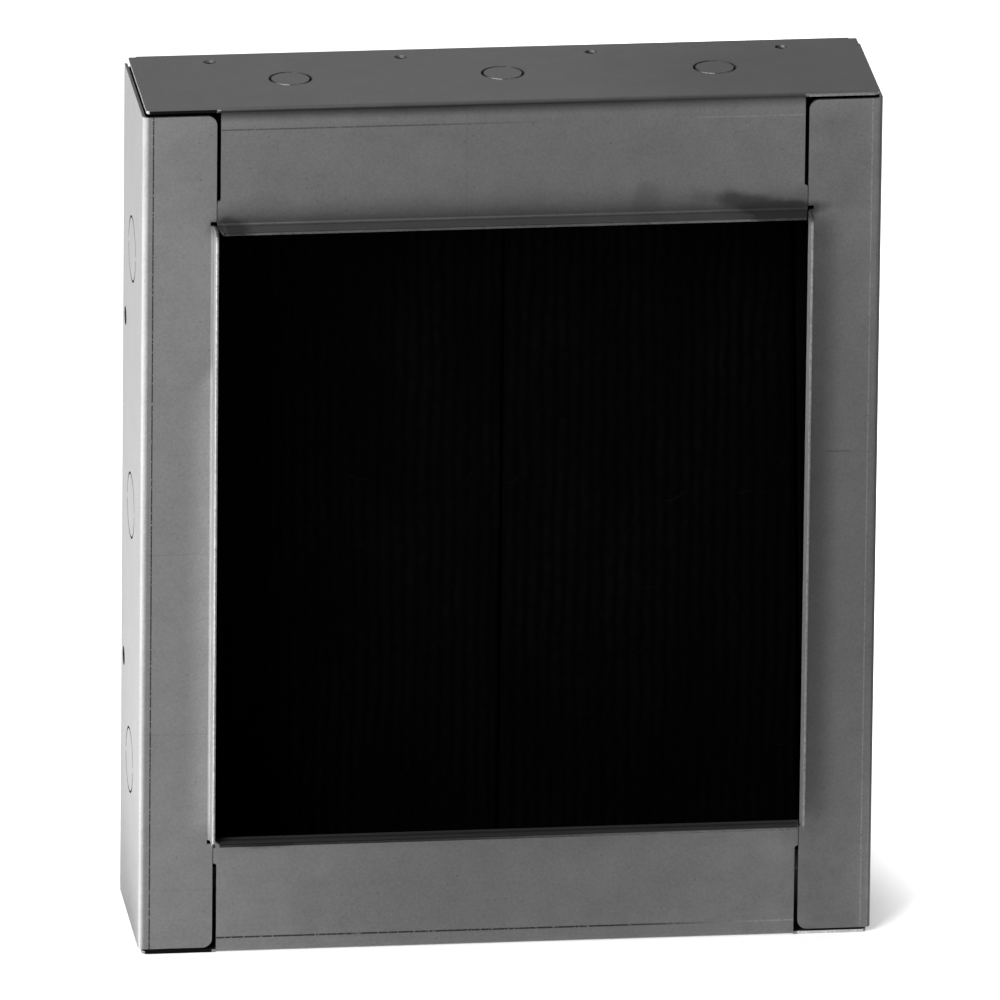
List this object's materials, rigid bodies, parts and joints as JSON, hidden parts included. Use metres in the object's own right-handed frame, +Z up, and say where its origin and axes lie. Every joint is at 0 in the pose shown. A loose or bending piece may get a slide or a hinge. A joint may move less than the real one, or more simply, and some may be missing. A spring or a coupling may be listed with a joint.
{
  "type": "speaker back box",
  "caption": "Shallow folded-steel speaker back box with a lipped rectangular opening, wall knockouts, fixing holes and a black fibre lining.",
  "frame": {"origin": "under the middle of the whole box, on the plane that its bottom wall stands on", "axes": "+Z up, the open front faces -Y, +X to the right seen from the front"},
  "size_m": [0.381, 0.108, 0.4572],
  "materials": {
    "bare_steel": "bare mill-finish sheet",
    "fibre_lining": "matte ridged fibre blanket"
  },
  "bodies": {
    "root": {"folded_box": "bare_steel", "back_lining_left": "fibre_lining", "back_lining_right": "fibre_lining", "back_lining_strip": "fibre_lining", "side_lining_left": "fibre_lining", "side_lining_right": "fibre_lining"}
  },
  "joints": []
}
